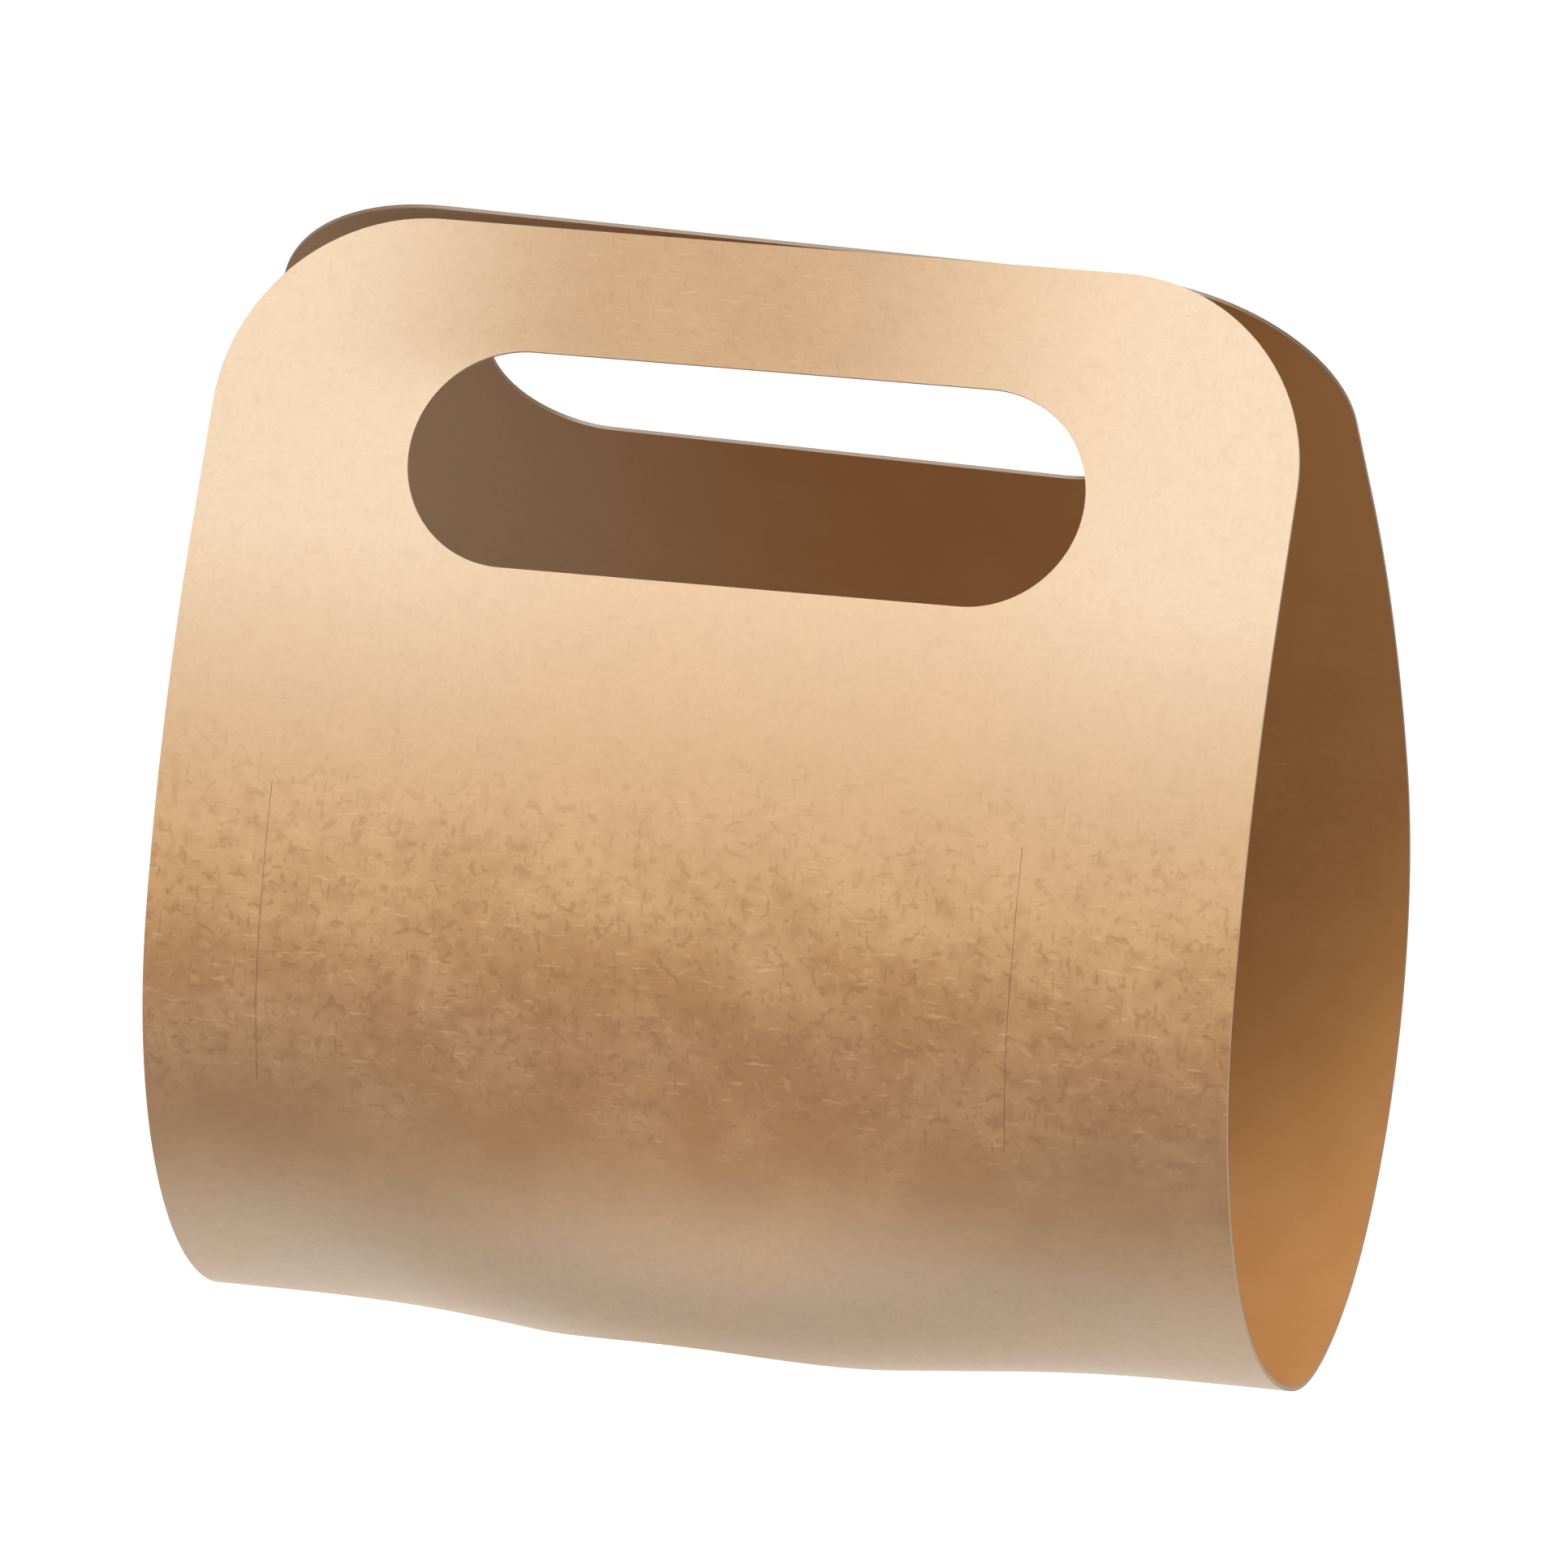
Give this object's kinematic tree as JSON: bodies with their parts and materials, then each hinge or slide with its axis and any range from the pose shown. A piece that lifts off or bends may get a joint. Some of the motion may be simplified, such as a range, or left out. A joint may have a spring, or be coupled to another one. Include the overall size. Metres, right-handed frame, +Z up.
{
  "type": "cup carrier",
  "caption": "Bent card sheet carrier: a cup hangs in a round hole at the bottom bend and both ends meet above as a slotted hand grip",
  "frame": {"origin": "bottom centre of the bent sheet, under the middle of the cup hole", "axes": "X along the bend, across the sheet; -Y towards the front panel with the two fine slits; +Z up to the hand grip"},
  "size_m": [0.13, 0.0922, 0.1348],
  "materials": {
    "kraft_card": "uncoated kraft card, matte, short brown and pale fibres"
  },
  "bodies": {
    "root": {"carrier_sheet": "kraft_card"}
  },
  "joints": []
}
